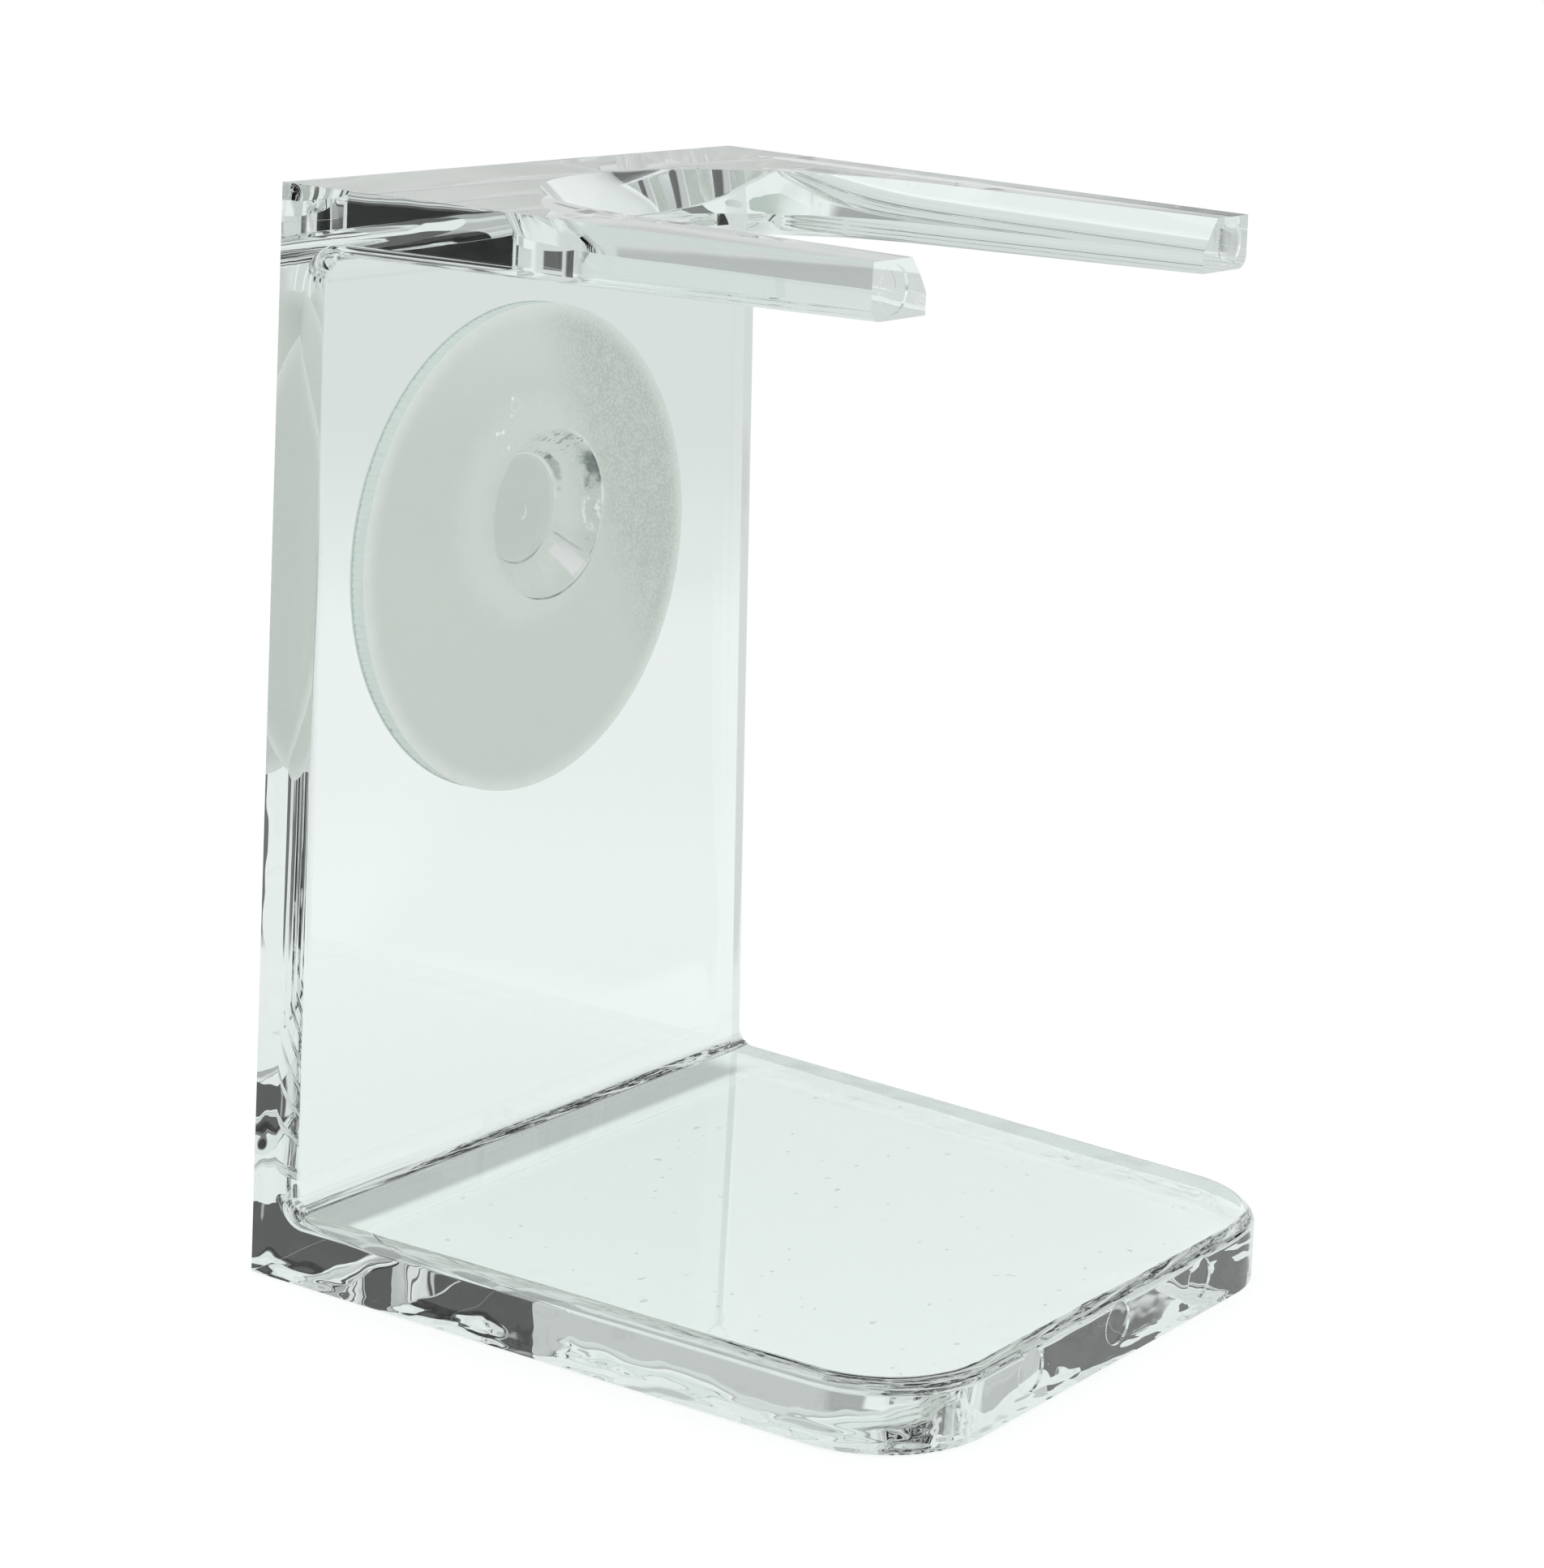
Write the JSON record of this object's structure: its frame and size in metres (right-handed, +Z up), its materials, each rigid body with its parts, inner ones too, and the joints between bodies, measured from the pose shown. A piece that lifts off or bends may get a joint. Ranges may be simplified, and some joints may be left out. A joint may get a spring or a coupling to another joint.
{
  "type": "shaving brush holder",
  "caption": "Clear moulded C-shaped holder: a flat base, an upright back plate with a round foam mounting pad, and a forked top with a bevelled slot that a brush hangs in.",
  "frame": {"origin": "middle of the object's box, on the surface that it stands on", "axes": "+Z up, +Y from the slot's mouth towards the back plate, +X to the right seen from the front"},
  "size_m": [0.0566, 0.059, 0.08],
  "materials": {
    "clear_acrylic": "clear and polished, with a faint green-grey cast",
    "adhesive_film": "tacky translucent film",
    "foam": "fine closed-cell foam, greyish white",
    "liner_paper": "smooth coated paper"
  },
  "bodies": {
    "root": {"stand": "clear_acrylic", "front_adhesive": "adhesive_film", "foam_pad": "foam", "rear_adhesive": "adhesive_film", "release_liner": "liner_paper"}
  },
  "joints": []
}
